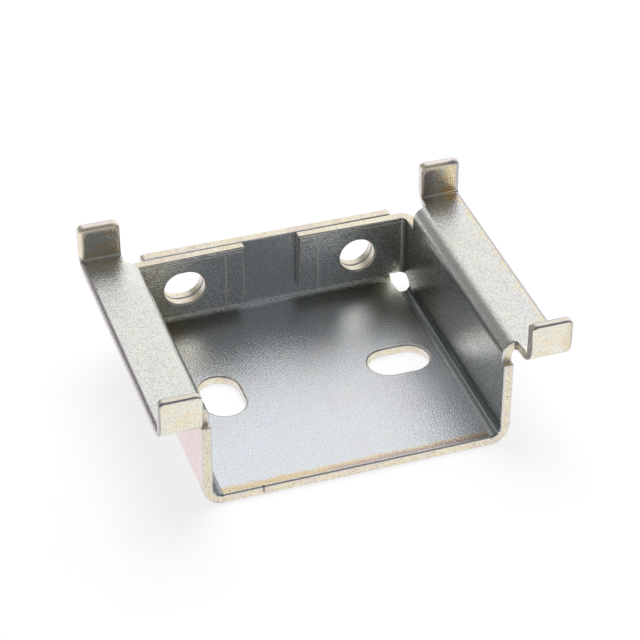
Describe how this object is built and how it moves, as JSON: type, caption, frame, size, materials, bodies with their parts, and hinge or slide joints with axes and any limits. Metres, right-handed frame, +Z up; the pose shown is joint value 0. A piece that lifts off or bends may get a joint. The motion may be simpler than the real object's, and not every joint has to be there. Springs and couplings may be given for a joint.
{
  "type": "mounting bracket",
  "caption": "Open-fronted tray bracket folded from sheet steel, with a doubled rear wall, outward rails ending in upturned tabs, and slotted fixing holes.",
  "frame": {"origin": "under the middle of the bounding box, on the plane that the floor's underside stands on", "axes": "+X across the tray from rail to rail, +Y from the open front to the rear wall, +Z up towards the rails and tabs"},
  "size_m": [0.06, 0.0472, 0.023],
  "materials": {
    "zinc_plated_sheet": "satin yellow-passivated zinc plating"
  },
  "bodies": {
    "root": {"bracket": "zinc_plated_sheet"}
  },
  "joints": []
}
